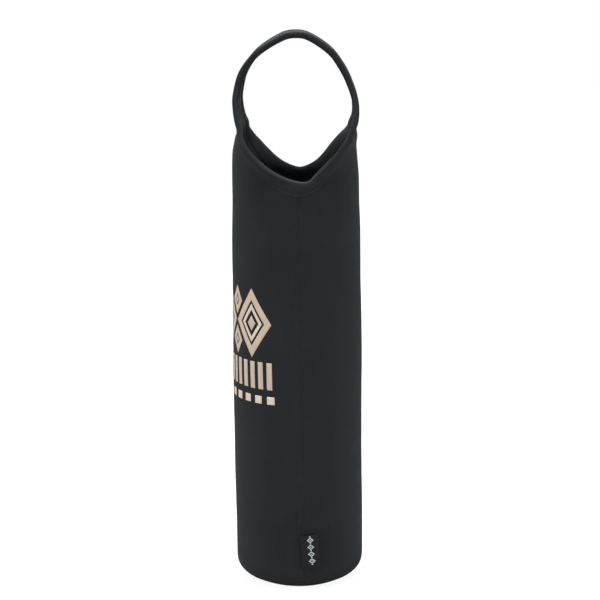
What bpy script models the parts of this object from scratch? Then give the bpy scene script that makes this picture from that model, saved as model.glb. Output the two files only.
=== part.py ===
"""Cooler sleeve for a standard bottle, with a loop handle, in metres, +Z up.

The sleeve is sewn from a laminate of outer jersey, foam and lining jersey. A front and a
back panel, each cut in one piece with its half of the handle, meet at two side seams and
at a seam over the crown. A round base closes them below. A folded tape binds the edge of
each side opening, and a folded label is caught in the right side seam.

The origin is the middle of the base's underside. The front panel faces -Y, and the side
openings face +X and -X.
"""

import bisect
import math

import bmesh
import bpy
from mathutils import Vector

# Overall form
BORE_DIAMETER = 0.075
SLEEVE_HEIGHT = 0.2645
HANDLE_HEIGHT = 0.0905
STRAP_WIDTH = 0.036
FLARE_HEIGHT = 0.062
BASE_CORNER_RADIUS = 0.011
BASE_RIM_WIDTH = 0.004

# Laminate
JERSEY_THICKNESS = 0.0005
FOAM_THICKNESS = 0.0015
LINING_THICKNESS = 0.0005
PLY_GAP = 0.0003
WALL_THICKNESS = JERSEY_THICKNESS + FOAM_THICKNESS + LINING_THICKNESS + 2 * PLY_GAP
OUTER_RADIUS = BORE_DIAMETER / 2 + WALL_THICKNESS

# Seams and threads
SEAM_GAP = 0.0003
SEAM_GROOVE_WIDTH = 0.0018
THREAD_DIAMETER = 0.0005
THREAD_GAP = 0.0003
THREAD_SWAY = 0.0002
STITCH_LENGTH = 0.0060
STITCH_INSET = 0.0015

# Bound edges
BINDING_WIDTH = 0.008
BINDING_THICKNESS = 0.0004
BINDING_GAP = 0.0004

# Side label
LABEL_WIDTH = 0.0115
LABEL_HEIGHT = 0.020
LABEL_BOTTOM = 0.0175
RIBBON_THICKNESS = 0.0004
RIBBON_END_GAP = 0.0001
FOLD_OPENING = 0.0007
LABEL_GAP = 0.0003

# Shape laws, and numbers without a length
BASE_SEAM_ANGLE = math.radians(15)
SHARP_ANGLE = math.radians(35)
CROWN_CURVATURE_SHARE = 0.03
FLATTENING_SHARE = 0.62
FLARE_SHARPNESS_SHARE = 0.62
FLARE_ROUNDING_SHARE = 1.5

# Side view of the front half, over the wall: radius as a share of the outer radius, and
# height above the notches as a share of the handle's rise. The sleeve draws in at the
# foot of the handle, the handle bows out over it and closes in a slightly pointed arch.
PROFILE_SHARES = (
    (1.000, -0.450),
    (0.985, -0.200),
    (0.972, 0.000),
    (0.937, 0.160),
    (0.902, 0.250),
    (0.894, 0.330),
    (0.917, 0.400),
    (0.933, 0.465),
    (0.928, 0.550),
    (0.882, 0.640),
    (0.818, 0.716),
    (0.717, 0.789),
    (0.598, 0.858),
    (0.441, 0.918),
    (0.275, 0.966),
    (0.140, 0.993),
    (0.000, 1.000),
)

# Stations along an opening's edge over the notch, as shares of the flare's height
FLARE_STATION_SHARES = (0.0, 0.017, 0.055, 0.12, 0.21, 0.32, 0.45, 0.60, 0.78, 1.0)

# Mesh counts
PANEL_COLUMNS = 12
CORNER_ROWS = 5
WALL_ROWS = 2
STRAP_ROWS = 8
SPINE_STEPS = 24
SEARCH_STEPS = 40
ROUND_STEPS = 24
FOLD_STEPS = 5


def curve_point(points, parameter):
    """Point on the smooth curve through the points, level at its last one."""
    last = len(points) - 1
    index = min(int(parameter), last - 1)
    share = parameter - index
    start = Vector(points[index])
    end = Vector(points[index + 1])
    if index == 0:
        before = Vector((start.x, start.y - (end.y - start.y)))
    else:
        before = Vector(points[index - 1])
    if index + 1 == last:
        after = Vector((-start.x, start.y))
    else:
        after = Vector(points[index + 2])
    start_slope = (end - before) / 2
    end_slope = (after - start) / 2
    square = share * share
    cube = square * share
    return (
        start * (2 * cube - 3 * square + 1)
        + start_slope * (cube - 2 * square + share)
        + end * (3 * square - 2 * cube)
        + end_slope * (cube - square)
    )


def profile_points():
    """Radius and height along the outer face, from the base seam to the crown."""
    centre_radius = OUTER_RADIUS - BASE_CORNER_RADIUS
    points = []
    for step in range(SPINE_STEPS + 1):
        angle = BASE_SEAM_ANGLE + (math.pi / 2 - BASE_SEAM_ANGLE) * step / SPINE_STEPS
        points.append(
            (
                centre_radius + BASE_CORNER_RADIUS * math.sin(angle),
                BASE_CORNER_RADIUS - BASE_CORNER_RADIUS * math.cos(angle),
            )
        )
    knots = [
        (OUTER_RADIUS * radius, SLEEVE_HEIGHT + HANDLE_HEIGHT * rise)
        for radius, rise in PROFILE_SHARES
    ]
    for step in range(SPINE_STEPS * (len(knots) - 1) + 1):
        points.append(tuple(curve_point(knots, step / SPINE_STEPS)))
    return points


SPINE = profile_points()
SPINE_LENGTHS = [0.0]
for near, far in zip(SPINE, SPINE[1:]):
    SPINE_LENGTHS.append(SPINE_LENGTHS[-1] + math.dist(near, far))
CORNER_LENGTH = SPINE_LENGTHS[SPINE_STEPS]
CROWN_LENGTH = SPINE_LENGTHS[-1]
NORMAL_STEP = BASE_CORNER_RADIUS / SPINE_STEPS


def spine_point(length):
    """Radius and height of the outer face at a length from the base seam."""
    index = bisect.bisect_right(SPINE_LENGTHS, length) - 1
    index = max(0, min(index, len(SPINE) - 2))
    start = Vector(SPINE[index])
    end = Vector(SPINE[index + 1])
    span = SPINE_LENGTHS[index + 1] - SPINE_LENGTHS[index]
    return start + (end - start) * ((length - SPINE_LENGTHS[index]) / span)


def length_at_height(height):
    """Length from the base seam to a height on the outer face."""
    low = 0.0
    high = CROWN_LENGTH
    for _ in range(SEARCH_STEPS):
        middle = (low + high) / 2
        if spine_point(middle).y < height:
            low = middle
        else:
            high = middle
    return (low + high) / 2


NOTCH_LENGTH = length_at_height(SLEEVE_HEIGHT)
STRAP_LENGTH = length_at_height(SLEEVE_HEIGHT + FLARE_HEIGHT)
NOTCH_RADIUS = spine_point(NOTCH_LENGTH).x


def smooth_share(value):
    value = max(0.0, min(1.0, value))
    return value * value * (3 - 2 * value)


def across_radius(length):
    """Radius of the panel across its width: round the sleeve, almost flat in the strap."""
    radius, height = spine_point(length)
    if height <= SLEEVE_HEIGHT:
        return radius
    share = smooth_share((height - SLEEVE_HEIGHT) / (FLARE_HEIGHT * FLATTENING_SHARE))
    curvature = (1 - share) / NOTCH_RADIUS + share * CROWN_CURVATURE_SHARE / OUTER_RADIUS
    return 1 / curvature


def edge_angle(length):
    """Angle from the panel's middle to its edge, a quarter turn below the notches."""
    height = spine_point(length).y
    if length <= NOTCH_LENGTH:
        return math.pi / 2
    share = min(1.0, (height - SLEEVE_HEIGHT) / FLARE_HEIGHT)
    flare = (1 - share**FLARE_SHARPNESS_SHARE) ** FLARE_ROUNDING_SHARE
    quarter = NOTCH_RADIUS * math.pi / 2
    half_width = STRAP_WIDTH / 2 + (quarter - STRAP_WIDTH / 2) * flare
    return half_width / across_radius(length)


def face_point(angle, length):
    """Point on the front panel's outer face."""
    radius, height = spine_point(length)
    ahead = spine_point(length + NORMAL_STEP)
    behind = spine_point(length - NORMAL_STEP)
    along = (ahead - behind).normalized()
    share = smooth_share((height - SLEEVE_HEIGHT) / FLARE_HEIGHT)
    inward = Vector((0.0, 1.0, 0.0)).lerp(Vector((0.0, along.y, along.x)), share)
    inward.normalize()
    bend = across_radius(length)
    point = Vector((bend * math.sin(angle), -radius, height))
    return point + inward * (bend * (1 - math.cos(angle)))


def face_directions(angle, length):
    """Unit directions across and along the front panel's outer face."""
    turn = NORMAL_STEP / OUTER_RADIUS
    across = face_point(angle + turn, length) - face_point(angle - turn, length)
    along = face_point(angle, length + NORMAL_STEP) - face_point(angle, length - NORMAL_STEP)
    return across.normalized(), along.normalized()


def wall_point(angle, length, offset):
    """Point off the front panel's outer face, outward by the offset."""
    across, along = face_directions(angle, length)
    return face_point(angle, length) + across.cross(along).normalized() * offset


def make_material(name, colour, roughness):
    material = bpy.data.materials.new(name)
    material.use_nodes = True
    shader = material.node_tree.nodes["Principled BSDF"]
    shader.inputs["Base Color"].default_value = (*colour, 1.0)
    shader.inputs["Roughness"].default_value = roughness
    shader.inputs["Metallic"].default_value = 0.0
    return material


def add_object(name, data, material):
    data.materials.append(material)
    part = bpy.data.objects.new(name, data)
    bpy.context.collection.objects.link(part)
    return part


def add_mesh(name, shape, material):
    """Turn a closed bmesh into a smooth-shaded object."""
    bmesh.ops.recalc_face_normals(shape, faces=shape.faces[:])
    if shape.calc_volume(signed=True) < 0:
        bmesh.ops.reverse_faces(shape, faces=shape.faces[:])
    mesh = bpy.data.meshes.new(name)
    shape.to_mesh(mesh)
    shape.free()
    mesh.shade_smooth()
    mesh.set_sharp_from_angle(angle=SHARP_ANGLE)
    return add_object(name, mesh, material)


def bent_slab(name, columns, rows, cut_away, leans_right, place, material):
    """Flat slab of unit depth, cut out and bent into shape by three rules.

    The first says which cells are cut away, and the second which way a cell's diagonal
    leans, so that layers with the same cells stay parallel. The third places a point by
    its column, its row, and 0 on the outer face or 1 on the inner face.
    """
    shape = bmesh.new()
    bmesh.ops.create_grid(shape, x_segments=columns, y_segments=rows, size=0.5)
    for point in shape.verts:
        point.co = Vector(((point.co.x + 0.5) * columns, (point.co.y + 0.5) * rows, 0.0))
    cells = {cell: cell.calc_center_median() for cell in shape.faces}
    waste = [cell for cell, middle in cells.items() if cut_away(middle.x, middle.y)]
    bmesh.ops.delete(shape, geom=waste, context="FACES")
    for cell in shape.faces[:]:
        middle = cell.calc_center_median()
        lean = 1 if leans_right(middle.x, middle.y) else -1
        corners = sorted(cell.verts, key=lambda corner: corner.co.y + lean * corner.co.x)
        bmesh.utils.face_split(cell, corners[0], corners[-1])
    copy = bmesh.ops.duplicate(shape, geom=shape.verts[:] + shape.edges[:] + shape.faces[:])
    for item in copy["geom"]:
        if isinstance(item, bmesh.types.BMVert):
            item.co.z = 1.0
    rim = [edge for edge in shape.edges if edge.is_boundary]
    bmesh.ops.bridge_loops(shape, edges=rim)
    for point in shape.verts:
        column, row, depth = point.co
        point.co = place(round(column), round(row), round(depth))
    return add_mesh(name, shape, material)


def opening_stations():
    """Stations up the edge of a side opening, on the front panel, from seam to crown.

    Each has the edge's angle and length, and how the way into the panel is shared between
    across and along it.
    """
    lengths = [
        length_at_height(SLEEVE_HEIGHT + FLARE_HEIGHT * share)
        for share in FLARE_STATION_SHARES
    ]
    run = CROWN_LENGTH - STRAP_LENGTH
    for step in range(1, STRAP_ROWS + 1):
        lengths.append(STRAP_LENGTH + run * step / STRAP_ROWS)
    places = [face_point(edge_angle(length), length) for length in lengths]
    mirrored = Vector((1.0, -1.0, 1.0))
    around = [places[1] * mirrored, *places, places[-2] * mirrored]
    stations = []
    for index, length in enumerate(lengths):
        angle = edge_angle(length)
        tangent = around[index + 2] - around[index]
        across, along = face_directions(angle, length)
        normal = across.cross(along).normalized()
        way = normal.cross(tangent).normalized()
        stations.append((angle, length, way.dot(across), way.dot(normal.cross(across))))
    return stations


def level_radius(length):
    """Radius that turns a distance across the panel into an angle, the same at and below the notches."""
    return across_radius(max(length, NOTCH_LENGTH))


def station_place(station, inset):
    """Angle and length at an inset from the opening's edge into the panel."""
    angle, length, across_share, along_share = station
    end = length + inset * along_share
    across = angle * level_radius(length) + inset * across_share
    return across / level_radius(end), end


def panel_ply(name, side, top, thickness, setback, material):
    """One layer of a panel, from the base seam over the handle's half to the crown.

    Below the notches its rows run from seam to seam. Over them its outer columns are the
    strips that the binding covers.
    """
    knots = [SLEEVE_HEIGHT + HANDLE_HEIGHT * rise for _, rise in PROFILE_SHARES[:WALL_ROWS]]
    rows = [CORNER_LENGTH * step / CORNER_ROWS for step in range(CORNER_ROWS + 1)]
    rows += [length_at_height(height) for height in knots]
    stations = opening_stations()
    first = len(rows)
    edge_columns = (0, PANEL_COLUMNS + 2)

    def cut_away(column, row):
        return row < first and not 1 < column < PANEL_COLUMNS + 1

    def leans_right(column, row):
        return column > PANEL_COLUMNS / 2 + 1

    def place(column, row, depth):
        if row < first:
            angle, length = math.pi / 2, rows[row]
        else:
            inset = 0.0 if column in edge_columns else BINDING_WIDTH
            angle, length = station_place(stations[row - first], inset)
        length = max(setback, min(length, CROWN_LENGTH - setback))
        angle = min(angle, math.pi / 2 - setback / across_radius(length))
        share = max(-1.0, min(1.0, 2 * (column - 1) / PANEL_COLUMNS - 1))
        point = wall_point(angle * share, length, top - thickness * depth)
        point.y *= side
        return point

    columns = PANEL_COLUMNS + 2
    count = first + len(stations) - 1
    return bent_slab(name, columns, count, cut_away, leans_right, place, material)


def opening_round():
    """Stations all round a side opening, each with the side of the sleeve it is on."""
    front = [(1, station) for station in opening_stations()]
    back = [(-1, station) for _, station in reversed(front[:-1])]
    return front + back


def edge_point(stop, inset, offset, mirror):
    """Point at an inset from the opening's edge into the panel, outward by the offset."""
    side, station = stop
    place = wall_point(*station_place(station, inset), offset)
    return Vector((place.x * mirror, place.y * side, place.z))


def tape_section():
    """The folded tape's outer and inner faces, as insets and offsets, over the edge."""
    faces = []
    for reach in (BINDING_GAP + BINDING_THICKNESS, BINDING_GAP):
        diagonal = reach * math.sqrt(0.5)
        faces.append(
            (
                (BINDING_WIDTH, reach),
                (0.0, reach),
                (-diagonal, diagonal),
                (-reach, 0.0),
                (-reach, -WALL_THICKNESS),
                (-diagonal, -WALL_THICKNESS - diagonal),
                (0.0, -WALL_THICKNESS - reach),
                (BINDING_WIDTH, -WALL_THICKNESS - reach),
            )
        )
    return faces


def edge_binding(name, mirror, material):
    """Tape folded over the edge of one side opening, its ends meeting at the side seam."""
    stops = opening_round()
    faces = tape_section()
    last = len(stops) - 1
    rows = len(faces[0]) - 1

    def cut_away(column, row):
        return False

    def leans_right(column, row):
        return (column < last / 2) == (row < rows / 2)

    def place(column, row, depth):
        inset, offset = faces[depth][row]
        point = edge_point(stops[column], inset, offset, mirror)
        if column == 0:
            point.y -= SEAM_GAP / 2
        if column == last:
            point.y += SEAM_GAP / 2
        return point

    return bent_slab(name, last, rows, cut_away, leans_right, place, material)


def thread(name, points, material):
    """Sewing thread through the points, as a bevelled curve with closed ends."""
    curve = bpy.data.curves.new(name, "CURVE")
    curve.dimensions = "3D"
    curve.bevel_depth = THREAD_DIAMETER / 2
    curve.bevel_resolution = 0
    curve.use_fill_caps = True
    spline = curve.splines.new("POLY")
    spline.points.add(len(points) - 1)
    for knot, point in zip(spline.points, points):
        knot.co = (*point, 1.0)
    return add_object(name, curve, material)


def binding_thread(name, mirror, material):
    """Row of stitches along the tape's outer leg, bent at its cells and their diagonals."""
    offset = BINDING_GAP + BINDING_THICKNESS + THREAD_GAP + THREAD_DIAMETER / 2
    share = STITCH_INSET / BINDING_WIDTH
    stops = opening_round()
    middle = (len(stops) - 1) / 2

    def on_leg(inner_stop, edge_stop):
        inner = edge_point(inner_stop, BINDING_WIDTH, offset, mirror)
        return inner.lerp(edge_point(edge_stop, 0.0, offset, mirror), share)

    points = [on_leg(stops[0], stops[0])]
    for index, (stop, after) in enumerate(zip(stops, stops[1:])):
        points.append(on_leg(stop, after) if index < middle else on_leg(after, stop))
        points.append(on_leg(after, after))
    points[0].y -= SEAM_GROOVE_WIDTH / 2
    points[-1].y += SEAM_GROOVE_WIDTH / 2
    return thread(name, points, material)


def groove_offset():
    """Depth of a thread's middle in a seam groove, over the foam."""
    return THREAD_GAP + THREAD_DIAMETER / 2 - JERSEY_THICKNESS - PLY_GAP


def side_seam_thread(name, mirror, material):
    """Zigzag thread in the groove of a side seam, from the base to the bound notch."""
    start = SEAM_GROOVE_WIDTH
    end = NOTCH_LENGTH - BINDING_WIDTH - SEAM_GROOVE_WIDTH
    stitches = max(2, round((end - start) / STITCH_LENGTH))
    points = []
    for step in range(stitches + 1):
        length = start + (end - start) * step / stitches
        place = wall_point(math.pi / 2, length, groove_offset())
        sway = THREAD_SWAY * (1 - 2 * (step % 2))
        points.append(Vector((place.x * mirror, sway, place.z)))
    return thread(name, points, material)


def crown_seam_thread(name, material):
    """Zigzag thread in the groove over the crown, between the two bound edges."""
    reach = STRAP_WIDTH / 2 - BINDING_WIDTH - SEAM_GROOVE_WIDTH
    stitches = max(2, round(2 * reach / STITCH_LENGTH))
    top = wall_point(0.0, CROWN_LENGTH, groove_offset()).z
    points = []
    for step in range(stitches + 1):
        sway = THREAD_SWAY * (1 - 2 * (step % 2))
        points.append(Vector((reach * (2 * step / stitches - 1), sway, top)))
    return thread(name, points, material)


def corner_point(offset, inset):
    """Radius and height in the base seam, inset from the corner's end towards the middle."""
    reach = BASE_CORNER_RADIUS + offset
    sine = math.sin(BASE_SEAM_ANGLE)
    cosine = math.cos(BASE_SEAM_ANGLE)
    return (
        OUTER_RADIUS - BASE_CORNER_RADIUS + reach * sine - inset * cosine,
        BASE_CORNER_RADIUS - reach * cosine - inset * sine,
    )


def base_seam_thread(name, material):
    """Thread ring in the groove between the panels' jersey and the base's."""
    radius, height = corner_point(groove_offset(), 0.0)
    shape = bmesh.new()
    section = bmesh.ops.create_circle(shape, segments=4, radius=THREAD_DIAMETER / 2)["verts"]
    for point in section:
        point.co = Vector((radius + point.co.x, 0.0, height + point.co.y))
    bmesh.ops.spin(
        shape,
        geom=shape.edges[:],
        cent=(0.0, 0.0, 0.0),
        axis=(0.0, 0.0, 1.0),
        angle=2 * math.pi,
        steps=ROUND_STEPS,
        use_merge=True,
    )
    return add_mesh(name, shape, material)


def base_ply(name, top, thickness, setback, material):
    """Round layer of the base, flat where the sleeve stands and raised at its rim."""
    shape = bmesh.new()
    outline = []
    for offset in (top, top - thickness):
        radius, height = corner_point(offset, setback)
        half = [(0.0, -offset), (radius - BASE_RIM_WIDTH, -offset), (radius, height)]
        outline += half if offset == top else reversed(half)
    corners = [shape.verts.new((radius, 0.0, height)) for radius, height in outline]
    for start, end in zip(corners, corners[1:]):
        shape.edges.new((start, end))
    bmesh.ops.spin(
        shape,
        geom=shape.edges[:],
        cent=(0.0, 0.0, 0.0),
        axis=(0.0, 0.0, 1.0),
        angle=2 * math.pi,
        steps=ROUND_STEPS,
        use_merge=True,
    )
    bmesh.ops.remove_doubles(shape, verts=shape.verts[:], dist=PLY_GAP / 10)
    return add_mesh(name, shape, material)


def side_label(name, material):
    """Folded ribbon, its two ends at the seam and its fold at the free edge."""
    end_reach = RIBBON_END_GAP / 2 + RIBBON_THICKNESS
    fold_reach = FOLD_OPENING / 2 + RIBBON_THICKNESS
    fold_start = LABEL_WIDTH - fold_reach
    outline = [(end_reach, 0.0)]
    for step in range(FOLD_STEPS + 1):
        angle = math.pi * step / FOLD_STEPS
        outline.append(
            (fold_reach * math.cos(angle), fold_start + fold_reach * math.sin(angle))
        )
    outline += [(-end_reach, 0.0), (-RIBBON_END_GAP / 2, 0.0)]
    for step in range(FOLD_STEPS + 1):
        angle = math.pi * (1 - step / FOLD_STEPS)
        inner = FOLD_OPENING / 2
        outline.append((inner * math.cos(angle), fold_start + inner * math.sin(angle)))
    outline.append((RIBBON_END_GAP / 2, 0.0))
    shape = bmesh.new()
    corners = [shape.verts.new((x, y, -LABEL_HEIGHT / 2)) for x, y in outline]
    face = shape.faces.new(corners)
    lifted = bmesh.ops.extrude_face_region(shape, geom=[face], use_keep_orig=True)
    top = [item for item in lifted["geom"] if isinstance(item, bmesh.types.BMVert)]
    bmesh.ops.translate(shape, verts=top, vec=(0.0, 0.0, LABEL_HEIGHT))
    label = add_mesh(name, shape, material)
    label.location = (
        OUTER_RADIUS + LABEL_GAP + end_reach,
        0.0,
        LABEL_BOTTOM + LABEL_HEIGHT / 2,
    )
    return label


for old in list(bpy.data.objects):
    bpy.data.objects.remove(old, do_unlink=True)

jersey = make_material("outer_jersey", (0.021, 0.023, 0.027), 0.85)
foam = make_material("foam_core", (0.012, 0.012, 0.013), 0.95)
lining = make_material("lining_jersey", (0.012, 0.013, 0.016), 0.9)
tape = make_material("binding_tape", (0.024, 0.026, 0.030), 0.8)
yarn = make_material("sewing_thread", (0.016, 0.017, 0.020), 0.6)
ribbon = make_material("label_ribbon", (0.014, 0.014, 0.016), 0.7)

foam_top = -JERSEY_THICKNESS - PLY_GAP
lining_top = foam_top - FOAM_THICKNESS - PLY_GAP
groove_setback = SEAM_GROOVE_WIDTH / 2
butt_setback = SEAM_GAP / 2

for panel, side in (("front", 1), ("back", -1)):
    panel_ply(panel + "_outer_jersey", side, 0.0, JERSEY_THICKNESS, groove_setback, jersey)
    panel_ply(panel + "_foam_core", side, foam_top, FOAM_THICKNESS, butt_setback, foam)
    panel_ply(panel + "_lining", side, lining_top, LINING_THICKNESS, butt_setback, lining)

base_ply("base_outer_jersey", 0.0, JERSEY_THICKNESS, groove_setback, jersey)
base_ply("base_foam_core", foam_top, FOAM_THICKNESS, butt_setback, foam)
base_ply("base_lining", lining_top, LINING_THICKNESS, butt_setback, lining)

for hand, mirror in (("right", 1), ("left", -1)):
    edge_binding(hand + "_edge_binding", mirror, tape)
    binding_thread(hand + "_binding_thread", mirror, yarn)
    side_seam_thread(hand + "_side_seam_thread", mirror, yarn)

base_seam_thread("base_seam_thread", yarn)
crown_seam_thread("crown_seam_thread", yarn)
side_label("side_label", ribbon)
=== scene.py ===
"""Looks of a foam-laminate sleeve for one bottle, with a loop handle, in metres, +Z up.

The pieces follow each other as the sleeve is put together: the panels' plies, the base, the
seams, the tape round the openings and the label, and then the room it is pictured in.
"""

import bisect
import functools
import math

import bmesh
import bpy
from mathutils import Matrix, Vector, noise


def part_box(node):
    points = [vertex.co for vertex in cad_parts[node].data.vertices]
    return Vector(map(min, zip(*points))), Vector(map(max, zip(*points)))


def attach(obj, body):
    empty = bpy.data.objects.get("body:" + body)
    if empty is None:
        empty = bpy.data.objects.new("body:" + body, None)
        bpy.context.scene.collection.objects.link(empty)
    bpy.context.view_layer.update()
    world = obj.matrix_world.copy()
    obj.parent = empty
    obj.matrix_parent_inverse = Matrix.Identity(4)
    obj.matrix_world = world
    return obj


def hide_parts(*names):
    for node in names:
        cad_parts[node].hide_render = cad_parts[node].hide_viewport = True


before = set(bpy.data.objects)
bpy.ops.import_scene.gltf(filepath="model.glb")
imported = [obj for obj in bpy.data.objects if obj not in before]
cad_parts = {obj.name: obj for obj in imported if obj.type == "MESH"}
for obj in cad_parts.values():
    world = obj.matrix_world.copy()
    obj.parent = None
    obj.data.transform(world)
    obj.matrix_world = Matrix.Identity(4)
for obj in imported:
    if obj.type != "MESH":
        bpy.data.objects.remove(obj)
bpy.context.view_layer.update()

# Outer jersey of the front and back panels
# Each panel is knitted polyester glued to foam and cut in one piece with half the handle.
# Its edges roll down into the seams, and above the notches they run under the edge tape.
OUTER_RADIUS = -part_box("front_outer_jersey")[0][1]
CROWN_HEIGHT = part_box("front_outer_jersey")[1][2]
SLEEVE_HEIGHT = 0.2645
HANDLE_HEIGHT = CROWN_HEIGHT - SLEEVE_HEIGHT
STRAP_WIDTH = 0.036
FLARE_HEIGHT = 0.062
BASE_CORNER_RADIUS = 0.011
BASE_SEAM_ANGLE = math.radians(15)
JERSEY_THICKNESS = 0.0005
SEAM_ROLL = 0.00045
BINDING_WIDTH = 0.008
TAPE_COVER = 0.005

# Side view of a panel: share of the outer radius, and share of the handle's height
PROFILE_SHARES = (
    (1.000, -0.450),
    (0.985, -0.200),
    (0.972, 0.000),
    (0.937, 0.160),
    (0.902, 0.250),
    (0.894, 0.330),
    (0.917, 0.400),
    (0.933, 0.465),
    (0.928, 0.550),
    (0.882, 0.640),
    (0.818, 0.716),
    (0.717, 0.789),
    (0.598, 0.858),
    (0.441, 0.918),
    (0.275, 0.966),
    (0.140, 0.993),
    (0.000, 1.000),
)
SPINE_STEPS = 24
SEARCH_STEPS = 40

# Panel above the notches: how round the strap stays, how far up it turns flat, how its edge
# sweeps in from the notch, and how much fuller the sweep is, most at a share of its height
CROWN_CURVATURE_SHARE = 0.03
FLATTENING_SHARE = 0.62
FLARE_SHARPNESS_SHARE = 0.62
FLARE_ROUNDING_SHARE = 1.5
FLARE_FILL = 0.0012
FLARE_FILL_SHARE = 0.32

# Grid of a panel: its step, the closer lines where it rolls into a seam and where the
# label's pleat lies, and the lengths of an opening's edge up the flare and up the strap
CLOTH_STEP = 0.0015
ROLL_STOPS = (0.0, 0.00008, 0.00018, 0.0003, 0.00045, 0.0008)
PLEAT_STOPS = (0.0014, 0.0020, 0.0027, 0.0034, 0.0042, 0.0052)
FLARE_STOP_POWER = 2.0
FLARE_RUN = 0.085
STRAP_RUN = 0.075

# Fullness of the panels between the seams: height, and how far they stand off
FULLNESS = (
    (0.0000, 0.0000),
    (0.0012, -0.0003),
    (0.0030, 0.0001),
    (0.0065, 0.0008),
    (0.0095, 0.0011),
    (0.0160, 0.0013),
    (0.0550, 0.0013),
    (0.1700, 0.0011),
    (0.2000, 0.0006),
    (0.2350, 0.0006),
    (0.2620, 0.0008),
    (0.2820, 0.0016),
    (0.2900, 0.0021),
    (0.2950, 0.0010),
    (0.3010, 0.0009),
    (0.3130, 0.0009),
    (0.3240, 0.0008),
    (0.3360, 0.0011),
    (0.3550, 0.0010),
)
FULLNESS_REACH = 0.030

# Relief of the cloth: slow waves and ripples, the pucker of the stitches along a side seam
# with the swell beside it, and dents, each with its place, reach and depth
WAVE_SIZE = 0.055
WAVE_HEIGHT = 0.00045
RIPPLE_SIZE = 0.016
RIPPLE_HEIGHT = 0.00012
PUCKER_PITCH = 0.0085
PUCKER_REACH = 0.006
PUCKER_HEIGHT = 0.00016
SEAM_SWELL_OFF = 0.0024
SEAM_SWELL_REACH = 0.0014
SEAM_SWELL_HEIGHT = 0.00020
DENTS = (
    ((0.0405, -0.0032, 0.0560), 0.0018, 0.00050),
    ((0.0405, 0.0090, 0.0440), 0.0030, 0.00035),
    ((0.0395, -0.0070, 0.2500), 0.0060, 0.00045),
    ((0.0395, 0.0060, 0.2470), 0.0070, 0.00050),
    ((-0.0405, 0.0050, 0.0700), 0.0060, 0.00050),
    ((0.0000, 0.0000, 0.3560), 0.0170, -0.00120),
)

# Pleat that the label's ends push up beside the seam: its heights, and the place off the
# seam, the reach and the rise of its ridge and its furrow
PLEAT_LOW = 0.0385
PLEAT_HIGH = 0.0545
PLEAT_FADE = 0.0045
PLEAT_FOLDS = ((-0.0019, 0.0010, 0.00070), (-0.0042, 0.0009, -0.00055))

# Flat place on both sides of the seam, where the label lies: its lowest and highest
# edge, how far it reaches off the seam, the width of its soft edge, and its depth
REST_LOW = 0.0095
REST_HIGH = 0.0455
REST_WIDTH = 0.0185
REST_FADE = 0.0060
REST_DEPTH = 0.00035

# Lie of the soft sleeve: its turn about the bore in degrees and its lean to the back
# panel, both at heights, and the share of the turn that the back panel leaves out
TWIST = (
    (0.000, 1.5),
    (0.100, 1.4),
    (0.235, 0.0),
    (0.264, -2.0),
    (0.275, -4.0),
    (0.285, -4.8),
    (0.295, -4.5),
    (0.330, -4.3),
    (0.355, -1.0),
)
LEAN = (
    (0.2645, 0.0000),
    (0.2820, -0.0003),
    (0.2900, 0.0009),
    (0.2975, 0.0017),
    (0.3080, 0.0014),
    (0.3160, 0.0008),
    (0.3300, -0.0001),
    (0.3400, 0.0002),
    (0.3520, 0.0011),
)
BACK_EASE_SHARE = 0.30

# Pull of a notch's lowest point to the back panel: how far, the share of it at the far
# notch, and its reach above, below and beside the notch
NOTCH_SKEW = 0.0055
FAR_SKEW_SHARE = 0.5
SKEW_ABOVE = 0.014
SKEW_BELOW = 0.008
SKEW_WIDTH = 0.010

# Tuck at the handle's foot: the radius past which it is drawn in, and how far it still gives
TUCK_RADIUS = 0.0425
TUCK_GIVE = 0.005

# Slack of the mouth's edge: places where it rises or sinks, with their reach and rise, and
# how many reaches a soft bump spreads
SLACK = (
    ((-0.0340, 0.0270, 0.2830), 0.0160, 0.0040),
    ((-0.0340, -0.0260, 0.2820), 0.0160, 0.0042),
    ((-0.0360, 0.0165, 0.2690), 0.0090, -0.0026),
    ((0.0320, -0.0280, 0.2820), 0.0150, 0.0026),
    ((0.0370, 0.0150, 0.2680), 0.0090, -0.0008),
    ((0.0380, -0.0080, 0.2640), 0.0080, -0.0008),
)
BUMP_SPREAD = 3.0


def curve_point(points, parameter):
    """Point on the smooth curve through the points, level at its last one."""
    last = len(points) - 1
    index = min(int(parameter), last - 1)
    share = parameter - index
    start = Vector(points[index])
    end = Vector(points[index + 1])
    if index == 0:
        before = Vector((start.x, start.y - (end.y - start.y)))
    else:
        before = Vector(points[index - 1])
    if index + 1 == last:
        after = Vector((-start.x, start.y))
    else:
        after = Vector(points[index + 2])
    start_slope = (end - before) / 2
    end_slope = (after - start) / 2
    square = share * share
    cube = square * share
    return (
        start * (2 * cube - 3 * square + 1)
        + start_slope * (cube - 2 * square + share)
        + end * (3 * square - 2 * cube)
        + end_slope * (cube - square)
    )


def profile_points():
    """Radius and height along the outer face, from the base seam to the crown."""
    centre_radius = OUTER_RADIUS - BASE_CORNER_RADIUS
    points = []
    for step in range(SPINE_STEPS + 1):
        angle = BASE_SEAM_ANGLE + (math.pi / 2 - BASE_SEAM_ANGLE) * step / SPINE_STEPS
        points.append(
            (
                centre_radius + BASE_CORNER_RADIUS * math.sin(angle),
                BASE_CORNER_RADIUS - BASE_CORNER_RADIUS * math.cos(angle),
            )
        )
    knots = [
        (OUTER_RADIUS * radius, SLEEVE_HEIGHT + HANDLE_HEIGHT * rise)
        for radius, rise in PROFILE_SHARES
    ]
    for step in range(SPINE_STEPS * (len(knots) - 1) + 1):
        points.append(tuple(curve_point(knots, step / SPINE_STEPS)))
    return points


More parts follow.
